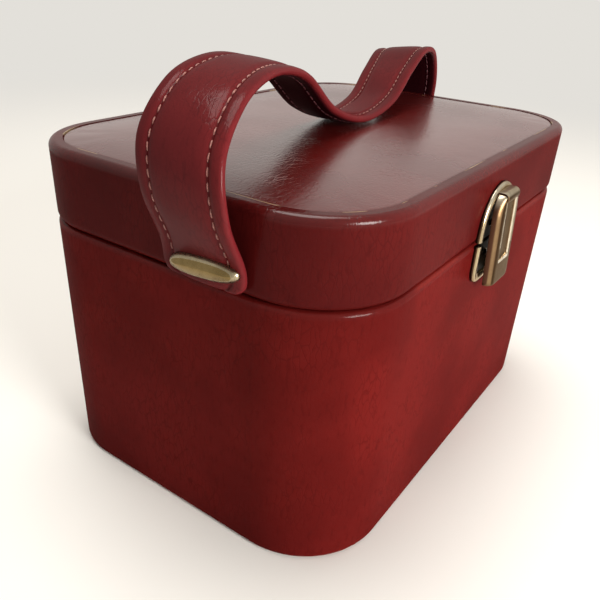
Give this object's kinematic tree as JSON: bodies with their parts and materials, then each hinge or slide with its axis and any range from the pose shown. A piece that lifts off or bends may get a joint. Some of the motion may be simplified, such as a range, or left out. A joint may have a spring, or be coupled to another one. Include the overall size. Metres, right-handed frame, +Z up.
{
  "type": "jewellery case",
  "caption": "Rounded leather jewellery case with a hinged padded lid, a stitched strap handle, a drop-lever clasp and a lift-off inner tray.",
  "frame": {"origin": "middle of the base's underside, on the surface that the case stands on", "axes": "+X along the case's length, towards the far end of the strap; +Y towards the hinges at the back, so the clasp faces -Y; +Z up"},
  "size_m": [0.2771, 0.1934, 0.2011],
  "materials": {
    "burgundy_leather": "glossy fine-grained coated leather",
    "plum_leather": "satin dark lining leather",
    "board": "bare pressed board",
    "velvet": "short-pile velvet",
    "foam": "open-cell padding",
    "nickel": "warm antique nickel plate, softly brushed",
    "steel": "plain bright steel",
    "ribbon": "woven satin ribbon",
    "mirror": "silvered glass"
  },
  "bodies": {
    "case_body": {"body_shell": "board", "body_cover": "burgundy_leather", "base_board": "board", "base_cover": "burgundy_leather", "body_lining": "velvet", "floor_pad": "velvet", "locating_lip": "velvet", "tray_ledge": "board", "hinge_body_leaves": "nickel", "hinge_pins": "nickel", "hinge_body_rivets": "nickel", "clasp_body_plate": "nickel", "clasp_keeper": "nickel", "clasp_body_rivets": "nickel"},
    "lid": {"lid_shell": "board", "lid_top_board": "board", "lid_cover": "burgundy_leather", "lid_pad": "foam", "lid_top_panel": "burgundy_leather", "lid_lining": "velvet", "mirror_glass": "mirror", "mirror_frame": "velvet", "strap_outer": "burgundy_leather", "strap_core": "foam", "strap_lining": "plum_leather", "handle_cap_near": "nickel", "handle_cap_far": "nickel", "handle_washers": "steel", "hinge_lid_leaves": "nickel", "hinge_lid_rivets": "nickel", "clasp_lid_plate": "nickel", "clasp_pin": "nickel", "clasp_lid_rivets": "nickel"},
    "lever": {"clasp_lever": "nickel", "lever_spring": "steel"},
    "tray": {"tray_shell": "velvet", "tray_dividers": "velvet", "tray_lining": "velvet", "ring_rolls": "velvet", "tray_ribbons": "ribbon"}
  },
  "joints": [
    {"name": "lid_hinge", "type": "hinge", "parent": "case_body", "child": "lid", "pos_m": [0, 0.092, 0.12475], "axis": [-1, 0, 0], "range_deg": [0, 100]},
    {"name": "clasp_lever_hinge", "type": "hinge", "parent": "lid", "child": "lever", "pos_m": [0, -0.0946, 0.1443], "axis": [-1, 0, 0], "range_deg": [0, 95]},
    {"name": "tray_lift", "type": "slide", "parent": "case_body", "child": "tray", "axis": [0, 0, 1], "range_m": [0, 0.02]}
  ]
}
